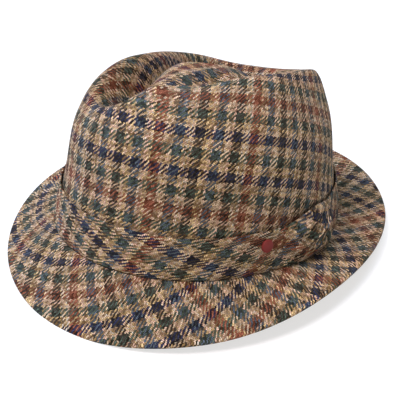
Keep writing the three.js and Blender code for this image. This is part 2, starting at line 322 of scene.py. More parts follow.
def make_camera():
    camera = bpy.data.objects.new("camera", bpy.data.cameras.new("camera"))
    camera.data.lens = LENS
    camera.data.sensor_width = SENSOR
    camera.data.clip_start = NEAREST
    back = (CAMERA_PLACE - LOOK_AT).normalized()
    level = Vector((0, 0, 1)).cross(back).normalized()
    up = back.cross(level)
    right = level * math.cos(CAMERA_ROLL) + up * math.sin(CAMERA_ROLL)
    up = back.cross(right)
    turn = Matrix((right, up, back)).transposed()
    camera.matrix_world = Matrix.Translation(CAMERA_PLACE) @ turn.to_4x4()
    bpy.context.collection.objects.link(camera)
    bpy.context.scene.camera = camera


make_camera()
print("camera distance, m:", round((CAMERA_PLACE - LOOK_AT).length, 3))

# %% [markdown]
# ## The light and the table
# The studio light is soft. A large lamp hangs high in front of the hat, a bluish one stands low on the
# left, one is behind it, and a weak one on the right keeps that side from going black. Pale surroundings
# fill the rest. The table glows a little by itself, so it stays nearly white and only a faint shadow shows.

# %% Lamps: each has its place in metres, its power in watts and its colour
LAMPS = {
    "high_front": ((-0.3, -0.65, 1.75), 33, (1.0, 0.91, 0.95)),
    "left": ((-1.3, -0.45, 1.2), 20, (0.32, 0.60, 1.0)),
    "behind": ((-0.1, 0.9, 1.6), 14, (0.75, 0.84, 1.0)),
    "right": ((1.3, -0.7, 0.7), 3, (0.9, 0.95, 1.0)),
}
LAMP_SIZE = 0.9
AIM = Vector((0, 0, 0.06))


def hang_lamp(name, place, power, colour):
    light = bpy.data.objects.new(name, bpy.data.lights.new(name, "AREA"))
    light.data.shape = "DISK"
    light.data.size = LAMP_SIZE
    light.data.energy = power
    light.data.color = colour
    light.location = place
    light.rotation_euler = (Vector(place) - AIM).to_track_quat("Z", "Y").to_euler()
    bpy.context.collection.objects.link(light)


for lamp, (place, power, colour) in LAMPS.items():
    hang_lamp(lamp, place, power, colour)
    print("lamp:", lamp, power, "W")

# %% Surroundings
SURROUNDINGS = (1, 0.97, 0.92, 1)
SURROUNDINGS_STRENGTH = 0.3

world = bpy.data.worlds.new("studio")
bpy.context.scene.world = world
world.use_nodes = True
world.node_tree.nodes["Background"].inputs["Color"].default_value = SURROUNDINGS
world.node_tree.nodes["Background"].inputs["Strength"].default_value = SURROUNDINGS_STRENGTH
bpy.context.scene.view_settings.view_transform = "Standard"
print("surroundings:", SURROUNDINGS_STRENGTH)

# %% Table
TABLE_HALF = 14.0
TABLE_PAINT = (0.37, 0.37, 0.37, 1)
TABLE_ROUGHNESS = 0.6
TABLE_GLOW = 0.64


def make_table():
    half = TABLE_HALF
    ends = [(-half, -half, 0), (half, -half, 0), (half, half, 0), (-half, half, 0)]
    mesh = bpy.data.meshes.new("table")
    mesh.from_pydata(ends, [], [(0, 1, 2, 3)])
    table = bpy.data.objects.new("table", mesh)
    bpy.context.collection.objects.link(table)
    paint = bpy.data.materials.new("pale table")
    paint.use_nodes = True
    shader = paint.node_tree.nodes["Principled BSDF"]
    shader.inputs["Base Color"].default_value = TABLE_PAINT
    shader.inputs["Roughness"].default_value = TABLE_ROUGHNESS
    shader.inputs["Emission Color"].default_value = (1, 1, 1, 1)
    shader.inputs["Emission Strength"].default_value = TABLE_GLOW
    mesh.materials.append(paint)
    print("table, m across:", 2 * half)


make_table()

# %% [markdown]
# ## Shader sums as plain expressions
# Written out as separate nodes it can't be read. This small class wraps one socket and lets Python's own
# operators add the Math nodes, so the weave below reads like the rule that a weaver follows.


# %% A socket that can be added and multiplied
class Socket:
    """One value in a material. Sums on it add Math nodes."""

    def __init__(self, finish, socket):
        self.finish = finish
        self.socket = socket

    def _math(self, operation, *values):
        return self.finish.node("ShaderNodeMath", {"operation": operation}, dict(enumerate(values)))

    def __add__(self, other):
        return self._math("ADD", self, other)

    __radd__ = __add__

    def __sub__(self, other):
        return self._math("SUBTRACT", self, other)

    def __rsub__(self, other):
        return self._math("SUBTRACT", other, self)

    def __mul__(self, other):
        return self._math("MULTIPLY", self, other)

    __rmul__ = __mul__

    def __truediv__(self, other):
        return self._math("DIVIDE", self, other)

    def __rtruediv__(self, other):
        return self._math("DIVIDE", other, self)

    def __lt__(self, other):
        return self._math("LESS_THAN", self, other)

    def floor(self):
        return self._math("FLOOR", self)

    def fract(self):
        return self._math("FRACT", self)

    def sine(self):
        return self._math("SINE", self)

    def cosine(self):
        return self._math("COSINE", self)

    def absolute(self):
        return self._math("ABSOLUTE", self)

    def power(self, other):
        return self._math("POWER", self, other)


# %% A material under construction
class Finish:
    """A material, with one method that adds any node: its type, its settings, then values or links."""

    def __init__(self, name):
        self.material = bpy.data.materials.new(name)
        self.material.use_nodes = True
        self.tree = self.material.node_tree
        self.shader = self.tree.nodes["Principled BSDF"]

    def node(self, kind, settings=None, inputs=None, output=0):
        made = self.tree.nodes.new(kind)
        for name, value in (settings or {}).items():
            if name == "stops":
                set_stops(made.color_ramp, value)
            else:
                setattr(made, name, value)
        for name, value in (inputs or {}).items():
            self.feed(made.inputs[name], value)
        return Socket(self, made.outputs[output])

    def feed(self, socket, value):
        if isinstance(value, Socket):
            self.tree.links.new(value.socket, socket)
        else:
            socket.default_value = value

    def other(self, first, output):
        """Another output of the node that a value came from."""
        return Socket(self, first.socket.node.outputs[output])

    # A Mix node keeps a pair of sockets for each kind of value: 2 and 3 for numbers, 6 and 7 for colours.

    def choose(self, yes, otherwise, value):
        """One of two numbers: the second where yes is 1."""
        return self.node("ShaderNodeMix", {"data_type": "FLOAT"}, {0: yes, 2: otherwise, 3: value})

    def mix(self, factor, first, second, blend="MIX"):
        """Two colours mixed by a factor."""
        return self.node("ShaderNodeMix", {"data_type": "RGBA", "blend_type": blend},
                         {0: factor, 6: first, 7: second}, output=2)


def set_stops(ramp, stops):
    """Puts the given (place, colour) stops on a ramp."""
    ramp.interpolation = "CONSTANT"
    while len(ramp.elements) < len(stops):
        ramp.elements.new(1.0)
    for element, (place, colour) in zip(ramp.elements, stops):
        element.position = place
        element.color = colour


# %% [markdown]
# ## The cloth
# The hat is made of a gun-club check, a shepherd's check with more than one dark colour. Eight dark threads
# are followed by eight beige ones, in the warp and in the weft, and each thread goes over two and under two,
# one step further along in every row. That step makes the diagonal lines, and where dark crosses beige it
# makes the small teeth. A photograph or a picture of the pattern would blur up close, so the
# material works out which thread lies on top at each point. Cloth coordinates are counted in checks.

# %% Yarn colours
BEIGE = (0.51, 0.365, 0.235, 1)
STRAW = (0.53, 0.365, 0.175, 1)
SHELL = (0.52, 0.325, 0.225, 1)
STONE = (0.43, 0.36, 0.27, 1)
RUST = (0.23, 0.076, 0.042, 1)
TEAL = (0.070, 0.086, 0.100, 1)
BROWN = (0.045, 0.036, 0.028, 1)
GREEN = (0.080, 0.106, 0.078, 1)
NAVY = (0.030, 0.034, 0.076, 1)
RUST_WEFT = (0.27, 0.094, 0.052, 1)
# The light threads are a mixture: each colour starts at a share and goes on to the next one's.
LIGHT_YARNS = [(0.0, BEIGE), (0.42, STRAW), (0.64, SHELL), (0.85, STONE)]
# The dark blocks take these colours in turn.
WARP_ORDER = (RUST, TEAL, BROWN, TEAL, BROWN, RUST, TEAL, BROWN, TEAL, BROWN, TEAL)
WEFT_ORDER = (RUST_WEFT, GREEN, NAVY, GREEN, NAVY, GREEN)
print("dark blocks before the colours repeat:", len(WARP_ORDER), "and", len(WEFT_ORDER))

# %% The weaver's rule
THREADS = 16
DARK_SHARE = 0.5
TWILL = 4
TOP_COUNT = 2
TOP_SHARE = TOP_COUNT / TWILL
WEFT_CENTRE = 3  # a weft float is centred this many threads beyond the thread's own number
FLOAT_ROUND = 0.5  # a low power, which makes a float blunt like a tuft and not like a wave
WARP_SEED = 0.37
WEFT_SEED = 91.73
WEFT_NUMBERS = 500.5  # added to a weft thread's number, so that no warp thread has the same one


def yarn(cloth, thread, order, seed):
    """The colour of a thread from its number. Dark and light blocks take turns."""
    block = (thread + 0.5) / THREADS
    number = (block + 0.5).floor()
    stops = [(i / len(order), colour) for i, colour in enumerate(order)]
    turn = ((number + 0.5) / len(order)).fract()
    dark = cloth.node("ShaderNodeValToRGB", {"stops": stops}, {"Fac": turn})
    chance = cloth.node("ShaderNodeTexWhiteNoise", {"noise_dimensions": "1D"}, {"W": thread + seed})
    light = cloth.node("ShaderNodeValToRGB", {"stops": LIGHT_YARNS}, {"Fac": chance})
    is_dark = (block + DARK_SHARE / 2).fract() < DARK_SHARE
    return cloth.mix(is_dark, light, dark)


def float_height(side, along):
    """How high a float stands: round across its thread, and bent down at both of its ends."""
    round_across = (side * math.pi).sine()
    bent_along = (along * (math.pi / TOP_COUNT)).cosine()
    return (round_across * bent_along).absolute().power(FLOAT_ROUND)


# %% [markdown]
# ### What makes it look like wool
# Woollen yarn is never even. The threads wander, each tuft takes the dye and the light in its own way, the
# fibres stand up, and wide patches are a little paler. Each of these causes is one noise. On top of that,
# shade is painted into the colour in the gaps between threads, at the ends of floats and on the lower weft
# floats, and light is painted on the raised warp floats. Noise sizes are given as a scale, counted per
# check, and shades as the least share of the colour and what the most adds to it.

# %% Unevenness, and painted light and shade on the threads
WANDER = {"Scale": 2.4, "Detail": 1.0}
RIPPLE = {"Scale": 14.0, "Detail": 1.0}
FIBRES = {"Scale": 60.0, "Detail": 3.0, "Roughness": 0.7}
PATCHES = {"Scale": 0.6, "Detail": 2.0}
WANDER_THREADS = 1.6
RIPPLE_THREADS = 0.9
# Painted light and shade: warp floats stand higher and are painted lighter, and weft floats lie lower and
# are painted darker.
WARP_PAINTED_LIGHT = 1.06
WEFT_PAINTED_SHADE = 0.84
# Painted shade: the colour is darkened in the gaps between threads and at both ends of every float, by how
# high the float stands there.
PAINTED_GAP_SHADE = (0.05, 1.1)
TUFT_SHADE = (0.3, 1.3)
FIBRE_SHADE = (0.55, 0.9)
PATCH_SHADE = (0.88, 0.24)
PAIR = 2  # this many threads side by side share a tuft


def cloth_noise(cloth, place, sizes):
    """A cloudy value from 0 to 1 that lies in the cloth."""
    return cloth.node("ShaderNodeTexNoise", {"noise_dimensions": "2D"}, {"Vector": place, **sizes})


def thread_places(cloth, place):
    """Where a point is in the cloth, counted in threads. Both counts wander together."""
    across = cloth.node("ShaderNodeSeparateXYZ", {}, {"Vector": place})
    along = cloth.other(across, "Y")
    wander = (cloth_noise(cloth, place, WANDER) - 0.5) * WANDER_THREADS
    ripple = (cloth_noise(cloth, place, RIPPLE) - 0.5) * RIPPLE_THREADS
    shift = wander + ripple
    return across * THREADS + shift, along * THREADS - shift


def shade_by(cause, least, added):
    """A share of the colour that grows with a cause."""
    return least + added * cause


# %% The woven material
# Where shade is painted into the colour, or the tone is darker, the colour is also made warmer.
SHADED_GREEN = 1.12  # shaded wool turns warmer: green falls faster than red, and blue faster still
SHADED_BLUE = 1.3
FIBRE_RELIEF = 0.5
RELIEF = {"Strength": 0.5, "Distance": 0.0004}
WOOL = {"Roughness": 0.95, "Specular IOR Level": 0.1, "Sheen Weight": 0.03, "Sheen Roughness": 0.5}


def tuft_chance(cloth, thread, run):
    """A number from 0 to 1 for each visible tuft, from its thread and its place along it."""
    float_number = ((run + TOP_COUNT) / TWILL).floor()
    tuft = cloth.node("ShaderNodeCombineXYZ", {}, {0: (thread / PAIR).floor(), 1: float_number})
    return cloth.node("ShaderNodeTexWhiteNoise", {"noise_dimensions": "2D"}, {"Vector": tuft})


def make_tweed():
    cloth = Finish("checked wool")
    place = cloth.node("ShaderNodeUVMap", {"uv_map": "cloth"})
    across, along = thread_places(cloth, place)
    warp, weft = across.floor(), along.floor()
    warp_on_top = ((warp - weft + 0.5) / TWILL).fract() < TOP_SHARE
    warp_run = along - warp
    weft_run = across - weft - WEFT_CENTRE
    height = cloth.choose(warp_on_top, float_height(along - weft, weft_run),
                          float_height(across - warp, warp_run))
    colour = cloth.mix(warp_on_top, yarn(cloth, weft, WEFT_ORDER, WEFT_SEED),
                       yarn(cloth, warp, WARP_ORDER, WARP_SEED))

    thread = cloth.choose(warp_on_top, weft + WEFT_NUMBERS, warp)
    chance = tuft_chance(cloth, thread, cloth.choose(warp_on_top, weft_run, warp_run))
    fibres = cloth_noise(cloth, place, FIBRES)
    # Painted light on the raised warp floats and painted shade on the lower weft floats and in the gaps,
    # times the random tone of tufts, fibres and patches.
    level = cloth.choose(warp_on_top, WEFT_PAINTED_SHADE, WARP_PAINTED_LIGHT)
    painted_shade_and_tone = level * shade_by(height, *PAINTED_GAP_SHADE) * shade_by(chance, *TUFT_SHADE)
    painted_shade_and_tone = painted_shade_and_tone * shade_by(fibres, *FIBRE_SHADE)
    painted_shade_and_tone = painted_shade_and_tone * shade_by(cloth_noise(cloth, place, PATCHES), *PATCH_SHADE)
    tint = cloth.node("ShaderNodeCombineColor", {},
                      {0: painted_shade_and_tone, 1: painted_shade_and_tone.power(SHADED_GREEN), 2: painted_shade_and_tone.power(SHADED_BLUE)})
    relief = cloth.node("ShaderNodeBump", {}, {**RELIEF, "Height": height + fibres * FIBRE_RELIEF})
    # The yarn's colour times its painted light and shade and its random tone.
    cloth.feed(cloth.shader.inputs["Base Color"], cloth.mix(1.0, colour, tint, blend="MULTIPLY"))
    cloth.feed(cloth.shader.inputs["Normal"], relief)
    for name, value in WOOL.items():
        cloth.feed(cloth.shader.inputs[name], value)
    return cloth.material


tweed = make_tweed()
print("tweed nodes:", len(tweed.node_tree.nodes))

# %% [markdown]
# ## Sheets of cloth as grids
# Every piece is a grid of points that follows the cloth, with an outer face, an inner face and closed
# edges. Quads that follow the cloth shade smoothly and carry the cloth coordinates with no seams in the
# wrong places. One helper turns a grid of points and a grid of cloth coordinates into an object.


# %% From a grid to an object
def corners(checks):
    """The cloth coordinates at the four corners of every face, from a grid of them."""
    return np.stack([checks[:-1, :-1], checks[1:, :-1], checks[1:, 1:], checks[:-1, 1:]], axis=2)


def both_sides(checks):
    """A grid of cloth coordinates for the outer face, then the same for the inner face and back."""
    return np.concatenate([checks, checks[:, ::-1], checks[:, :1]], axis=1)


def loop_faces(count, ring, goes_round):
    """The quads between neighbouring loops of points, and a cap at each end if they don't go round."""
    spans = count if goes_round else count - 1
    i, j = np.meshgrid(np.arange(spans), np.arange(ring), indexing="ij")
    next_i = (i + 1) % count
    next_j = (j + 1) % ring
    quads = np.stack([i * ring + j, next_i * ring + j, next_i * ring + next_j, i * ring + next_j], axis=-1)
    faces = quads.reshape(-1, 4).tolist()
    if not goes_round:
        faces.append(list(range(ring)))
        faces.append([(count - 1) * ring + k for k in reversed(range(ring))])
    return faces


def cloth_object(name, points, face_checks, goes_round=True):
    """A closed object from a grid of loops: points[i, j] with j running round each closed loop."""
    placed = on_table(points).reshape(-1, 3)
    faces = loop_faces(*points.shape[:2], goes_round)
    corner_checks = face_checks.reshape(-1, 2)
    if not goes_round:
        corner_checks = np.concatenate([corner_checks, face_checks[0, :, 0], face_checks[-1, ::-1, 1]])
    mesh = bpy.data.meshes.new(name)
    mesh.from_pydata(placed.tolist(), [], faces)
    layer = mesh.uv_layers.new(name="cloth")
    layer.data.foreach_set("uv", corner_checks.ravel())
    mesh.shade_smooth()
    mesh.validate()
    mesh.materials.append(tweed)
    piece = bpy.data.objects.new(name, mesh)
    bpy.context.collection.objects.link(piece)
    size = [round(v / MM, 1) for v in (*placed.min(axis=0), *placed.max(axis=0))]
    print(name, "faces:", len(faces), "mm:", size)
    return piece


# %% [markdown]
# ## The crown
# The outlines from the table are drawn at many angles, and felted cloth has no hard creases, so the grid is
# blurred above the wall. The blur runs over the middle of the crown, from one side to the other, so the
# middle has no point. The inner face is the same skin moved in by the cloth's thickness.

# %% The crown's outlines
CROWN_ROUND = 288
CROWN_UP = 88
GROOVE_KNOT = 4  # the groove's number among an outline's knots, counted from 0 at the foot
EVENNESS = 0.6
LOW_WALL = 0.45  # halfway up the wall, this share of its lean is reached


def crown_outlines(angles, steps):
    """The outline at each angle, from the head line up and in to the middle, and its step in the groove."""
    rows = read_round(CROWN_FOLDS, angles)
    reach = np.linalg.norm(head_line(angles, CROWN_MARGIN), axis=-1)
    outlines = np.empty((len(angles), steps + 1, 2))
    groove_steps = np.empty(len(angles))
    for i, row in enumerate(rows):
        wall_reach, wall, crest_reach, crest, groove_reach, groove, middle_reach, middle = row
        low_reach = 1 + (wall_reach - 1) * LOW_WALL
        reaches = [1, low_reach, wall_reach, crest_reach, groove_reach, middle_reach, 0, -middle_reach]
        heights = [0, wall / 2, wall, crest, groove, middle, CROWN_TOP, middle]
        knots = np.stack([np.array(reaches) * reach[i], np.array(heights) * CROWN_HEIGHT], axis=-1)
        marks = running_total(np.linalg.norm(np.diff(knots, axis=0), axis=1) ** EVENNESS)
        outlines[i] = smooth_through(np.linspace(0, marks[-2], steps + 1), marks, knots)
        groove_steps[i] = marks[GROOVE_KNOT] / marks[-2] * steps
    outlines[:, -1, 0] = 0
    return outlines, groove_steps


# %% The crown's soft skin
SOFTNESS = 2.2
BLUR_WIDTHS = 3
SOFT_FROM = 0.4  # the wall below this share of the steps stays as the block made it
SOFT_FADE = 0.12


def blur(grid, width):
    """A soft blur of the crown's grid, round the head and across the middle."""
    reach = int(BLUR_WIDTHS * width)
    offsets = np.arange(-reach, reach + 1)
    weights = np.exp(-0.5 * (offsets / width) ** 2)
    weights /= weights.sum()
    round_blur = sum(w * np.roll(grid, k, axis=0) for w, k in zip(weights, offsets))
    opposite = np.roll(round_blur, len(grid) // 2, axis=0)[:, ::-1][:, 1:reach + 1]
    below = round_blur[:, :1].repeat(reach, axis=1)
    tall = np.concatenate([below, round_blur, opposite], axis=1)
    height = grid.shape[1]
    return sum(w * tall[:, reach + k:reach + k + height] for w, k in zip(weights, offsets))


def crown_skin():
    """The crown's angles, its outer skin as a grid of points, and the groove's step at each angle."""
    angles = round_the_head(CROWN_ROUND)
    outlines, groove_steps = crown_outlines(angles, CROWN_UP)
    direction = unit(head_line(angles, CROWN_MARGIN))
    sharp = np.concatenate([direction[:, None, :] * outlines[..., :1], outlines[..., 1:]], axis=-1)
    soft = blur(sharp, SOFTNESS)
    share = np.arange(CROWN_UP + 1) / CROWN_UP
    pull = np.clip((share - SOFT_FROM) / SOFT_FADE, 0, 1)[None, :, None]
    return angles, sharp + (soft - sharp) * pull, groove_steps


def skin_normals(grid):
    """The direction out of a grid's face at each point, for a grid of columns round the head."""
    nearly_nothing = 1e-9
    along = np.roll(grid, -1, axis=0) - np.roll(grid, 1, axis=0)
    up = np.gradient(grid, axis=1)
    normal = np.cross(along, up)
    return normal / np.maximum(np.linalg.norm(normal, axis=-1, keepdims=True), nearly_nothing)


# %% [markdown]
# On the real hat a flat piece of tweed is steamed and pulled over a block. Round the wall it ends up as a
# bent strip: the columns stay a check apart, and the rows sink on both sides of the highest place. Toward
# the far side the rows level out and the columns stand upright again. The steam shifts the check a little
# more in a few plain ways, which are named below as pairs, the shift across and the shift up, in checks.
# All lengths are in millimetres. The shifts were found by comparing with the photograph and rounded.

# %% Where the crown's check lies
CHECK_WARP = 11.45
CHECK_WEFT = 11.9
STRAIGHT_COLUMN = 53.0
RUST_COLUMN = 36.4
RUST_ROW = 47.0
ROW_CENTRE = 22.0
ROW_BEND = 0.0013
BENT_FROM, BENT_TO = -105.0, 190.0
BEND_FADE = 30.0
UPRIGHT_FROM, UPRIGHT_BY = -60.0, -250.0
EASE_LIMIT = 1.2
CROWN_EASE_CENTRE = np.array([1.9, 3.0])
CROWN_EASE_SPAN = np.array([8.2, 4.6])
CROWN_EASE = {
    "everywhere": (0.02, -0.14),
    "going up": (-0.12, 0.16),
    "going up, squared": (-0.31, 0.21),
    "going across": (0.29, 0.06),
    "going up and across": (0.31, 0.18),
    "going across, squared": (-0.11, 0.04),
}


def ease(checks, centre, span, shifts):
    """Shifts the check a little, as steam and the block do."""
    across, up = np.moveaxis(np.clip((checks - centre) / span, -EASE_LIMIT, EASE_LIMIT), -1, 0)
    growth = {
        "everywhere": np.ones_like(up),
        "going up": up,
        "going up, squared": up**2,
        "going across": across,
        "going up and across": across * up,
        "going across, squared": across**2,
    }
    return checks - sum(growth[way][..., None] * shift for way, shift in shifts.items())


print("the crown's check eases in", len(CROWN_EASE), "ways")


# %% Cloth coordinates of the crown
def row_drop(away):
    """How far the rows sink at a distance from the highest place. Beyond the bent part they level out."""
    bent = np.clip(away, BENT_FROM, BENT_TO)
    beyond = np.abs(away - bent)
    return ROW_BEND * (bent**2 + 2 * np.abs(bent) * BEND_FADE * (1 - np.exp(-beyond / BEND_FADE)))


def columns_at(place, arc, local):
    """The distance across the cloth at one place on the head line, for every row."""
    return np.array([np.interp(place, arc, column) for column in local.T])


def crown_checks(angles, skin):
    """The wall's cloth is a gently bent strip: columns stay a check apart, and rows sink to the back."""
    arc = arc_round_the_head(closed_turn(angles))
    reach = np.linalg.norm(skin[..., :2], axis=-1)
    local = running_total(reach / reach[:, :1] * np.diff(arc)[:, None])
    local += STRAIGHT_COLUMN - columns_at(STRAIGHT_COLUMN, arc, local)
    lean = columns_at(UPRIGHT_FROM, arc, local) - UPRIGHT_FROM
    turned = np.clip((arc - UPRIGHT_FROM) / (UPRIGHT_BY - UPRIGHT_FROM), 0, 1)[:, None]
    upright = arc[:, None] + lean * (1 - turned**2 * (3 - 2 * turned))
    across = np.where(arc[:, None] < UPRIGHT_FROM, upright, local)
    up = closed(length_along(skin, axis=1)) + row_drop(arc[:, None] - ROW_CENTRE)
    checks = np.stack([(across - RUST_COLUMN) / CHECK_WARP, (up - RUST_ROW) / CHECK_WEFT], axis=-1)
    return ease(checks, CROWN_EASE_CENTRE, CROWN_EASE_SPAN, CROWN_EASE)


MIDDLE_START = (0.3, 0.2)


def middle_checks(skin):
    """The raised middle inside the groove is nearly level, so its check lies straight on it."""
    return closed(skin)[..., :2] / (CHECK_WARP, CHECK_WEFT) + MIDDLE_START


# %% [markdown]
# ### The crown as one sheet
# The crown is blocked from one oval of cloth. The wall and the raised middle carry their own cloth
# coordinates, and the change from one to the other lies at the bottom of the groove, where the folded cloth
# hides it.


def make_crown():
    angles, outer, groove_steps = crown_skin()
    normals = skin_normals(outer)
    normals[:, 0, 2] = 0
    normals[:, -1] = (0, 0, 1)
    inner = outer - normals * CROWN_WALL
    points = np.concatenate([outer, inner[:, ::-1]], axis=1)
    in_middle = np.arange(CROWN_UP + 1) >= np.round(groove_steps)[:, None]
    in_middle = np.concatenate([in_middle, in_middle[:, ::-1]], axis=1)[..., None, None]
    wall = corners(both_sides(crown_checks(angles, outer)))
    middle = corners(both_sides(middle_checks(outer)))
    crown = cloth_object("crown_cloth", points, np.where(in_middle, middle, wall))
    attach(crown, "root")
    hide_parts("crown")
    return angles, outer


crown_angles, crown_outer = make_crown()

# %% [markdown]
# ## The brim
# The brim is a separate ring of cloth. It could be a flat disc bent down, but a snap brim is steep at the
# front and turns up at the back, so its slope is read from its own small table. Its cloth is cut on a
# slant, which is why the check runs across it at an angle that changes slowly round the head.

# %% The brim's cloth coordinates
BRIM_WARP_CHECK = 12.0
BRIM_WEFT_CHECK = 10.25
BRIM_MIDDLE = 18.0
# The slant at the front in degrees, then what it gains per 100 degrees round the head, per its square and
# per its cube.
BRIM_SLANT = (27.2, 20.3, -10.3, -1.5)
SLANT_UNIT = 100
BRIM_START = np.array([5.33, 0.96])


def brim_checks(angles, upper):
    """The cloth's grain at an angle to the head line, measured from the middle of the brim's width."""
    out = length_along(upper, axis=1)
    middle = np.array([[np.interp(BRIM_MIDDLE, out[i], upper[i, :, axis]) for axis in range(3)]
                       for i in range(len(upper))])
    step = np.linalg.norm(np.diff(closed(middle), axis=0), axis=1)
    turns = closed_turn(angles)
    slant = np.radians(np.polynomial.polynomial.polyval(turns / SLANT_UNIT, BRIM_SLANT))
    half = (slant[1:] + slant[:-1]) / 2
    across = running_total(step * np.cos(half))
    along = running_total(-step * np.sin(half))
    across -= np.interp(0, turns, across)
    along -= np.interp(0, turns, along)
    beyond = closed(out) - BRIM_MIDDLE
    u = across[:, None] - beyond * np.sin(slant)[:, None]
    v = along[:, None] - beyond * np.cos(slant)[:, None]
    return np.stack([u / BRIM_WARP_CHECK, v / BRIM_WEFT_CHECK], axis=-1) + BRIM_START


# %% [markdown]
# ### The brim as one sheet
# The brim's edge is raw and a little rounded, so a short row of points goes round it from the upper side to
# the underside. Where the brim touches the table it is pressed flat.

# %% Make the brim
BRIM_ROUND = 360
BRIM_STEPS = 26
EDGE_STEPS = 5
EDGE_STEP = 0.5


def lay_on_table(points):
    """Cloth that would go below the table lies flat on it."""
    x, y, z = np.moveaxis(points, -1, 0)
    table = (y * math.sin(TILT) - LIFT) / math.cos(TILT)
    return np.stack([x, y, np.maximum(z, table)], axis=-1)


def brim_edge(upper, under):
    """Points that go round the edge, from the upper side to the underside."""
    turn = np.linspace(0, math.pi, EDGE_STEPS + 2)[1:-1]
    centre = (upper[:, -1] + under[:, -1]) / 2
    up = (upper[:, -1] - under[:, -1]) / 2
    bulge = unit(upper[:, -1] - upper[:, -2]) * BRIM_THICKNESS / 2
    return np.stack([centre + up * math.cos(t) + bulge * math.sin(t) for t in turn], axis=1)


def make_brim():
    angles = round_the_head(BRIM_ROUND)
    upper, under = brim_skins(angles, BRIM_STEPS)
    checks = brim_checks(angles, upper)
    edge_checks = checks[:, -1:].repeat(EDGE_STEPS, axis=1)
    edge_checks[..., 1] -= np.arange(1, EDGE_STEPS + 1) * EDGE_STEP / BRIM_WEFT_CHECK
    points = lay_on_table(np.concatenate([upper, brim_edge(upper, under), under[:, ::-1]], axis=1))
    both = np.concatenate([checks, edge_checks, checks[:, ::-1], checks[:, :1]], axis=1)
    brim = cloth_object("brim_cloth", points[:, ::-1], corners(both[:, ::-1]))
    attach(brim, "root")
    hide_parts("brim")


make_brim()

# %% [markdown]
# ## The band
# The band is a folded strip of the same cloth, cut on a slant, that lies round the foot of the crown. It
# follows the wall of the crown at a small clearance, with soft folds along it. Its top edge is thin and
# stands off the crown a little, which draws the dark line over it. First the crown's wall is read, so that
# the band and the bow can lie on it.

# %% Places on the crown's wall
WALL_ROWS = 40
wall_angles = closed_turn(crown_angles)
wall_rows = closed(crown_outer)[:, :WALL_ROWS]
wall_reaches = np.linalg.norm(wall_rows[..., :2], axis=-1)
wall_heights = wall_rows[..., 2]
print("the wall is read up to, mm:", round(float(wall_heights[:, -1].min()), 1))


def at_angles(angles, rows):
    """A measure of the crown's wall at any angles, for each of its rows."""
    return np.stack([np.interp(angles, wall_angles, row) for row in rows.T], axis=1)


def wall_points(angles, heights, margins):
    """Points on the crown's wall at heights, moved straight out by margins, both (angles, rows)."""
    reaches = at_angles(angles, wall_reaches)
    levels = at_angles(angles, wall_heights)
    reach = np.stack([np.interp(*measures) for measures in zip(heights, levels, reaches)])
    flat = unit(head_line(angles, CROWN_MARGIN))[:, None, :] * reach[..., None]
    flat += outward(angles)[:, None, :] * margins[..., None]
    return np.concatenate([flat, heights[..., None]], axis=-1)


# %% The band's cloth coordinates
BAND_SLANT = math.radians(-23)
BAND_CHECK = 11.9
BAND_NAVY_ROW = 26.6
BAND_TEAL_COLUMN = 14.4
BAND_START = np.array([-1.0, 3.0])
BAND_EASE_CENTRE = np.array([1.2, 3.5])
BAND_EASE_SPAN = np.array([5.8, 2.6])
BAND_EASE = {
    "everywhere": (0.18, -0.09),
    "going up": (0.58, -0.36),
    "going up, squared": (0.30, 0.32),
    "going across": (0.50, 0.32),
    "going up and across": (0.37, -0.39),
    "going across, squared": (-0.25, 0.30),
}


def slanted_checks(along, heights):
    """The band's cloth is cut on a slant, so its rows fall toward the bow."""
    across = along * math.cos(BAND_SLANT) + heights * math.sin(BAND_SLANT)
    up = -along * math.sin(BAND_SLANT) + heights * math.cos(BAND_SLANT)
    checks = np.stack([across - BAND_TEAL_COLUMN, up - BAND_NAVY_ROW], axis=-1) / BAND_CHECK + BAND_START
    return ease(checks, BAND_EASE_CENTRE, BAND_EASE_SPAN, BAND_EASE)


print("the band's rows fall by degrees:", round(-math.degrees(BAND_SLANT)))

# %% The band's folds and waves
BAND_ROUND = 360
BAND_ROWS = 20
TOP_LIFT = 1.1
LIFTED_FROM = 0.7
# How high up the band, and how thick it is there as a share of its thickness.
BAND_FOLDS = np.array([
    (0, 0.75),
    (0.10, 1.05),
    (0.32, 0.85),
    (0.56, 1.1),
    (0.80, 0.85),
    (0.94, 1.2),
    (1, 1.0),
])
# A wave's size, how often it goes round the head, its lean up the band, and its start.
DRAPE_WAVES = ((0.12, 5, 7, 0), (0.08, 9, -4, 1))
TOP_WAVES = ((0.5, 3, 0, 1), (0.3, 7, 0, 0))


def waves(table, turn, share):
    """Slow waves round the head, so that no part of the band is like the next."""
    return sum(size * np.sin(often * turn + lean * share + start) for size, often, lean, start in table)


print("band waves:", len(DRAPE_WAVES), "in the folds and", len(TOP_WAVES), "in the top edge")


def make_band():
    angles = round_the_head(BAND_ROUND)
    share = np.linspace(0, 1, BAND_ROWS)
    turn = np.radians(angles)[:, None]
    heights = share * (BAND_HEIGHT + waves(TOP_WAVES, turn, share))
    fold = smooth_through(share, BAND_FOLDS[:, 0], BAND_FOLDS[:, 1:])[:, 0]
    thickness = fold * BAND_THICKNESS * (1 + waves(DRAPE_WAVES, turn, share))
    outside = wall_points(angles, heights, CLEARANCE + thickness)
    lifted = TOP_LIFT * np.clip((share - LIFTED_FROM) / (1 - LIFTED_FROM), 0, 1) ** 2
    inside = wall_points(angles, heights, CLEARANCE + np.zeros_like(heights) + lifted)
    points = np.concatenate([outside, inside[:, ::-1]], axis=1)
    arc = arc_round_the_head(closed_turn(angles))[:, None]
    band = cloth_object("band_cloth", points, corners(both_sides(slanted_checks(arc, closed(heights)))))
    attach(band, "root")
    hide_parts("band")


make_band()

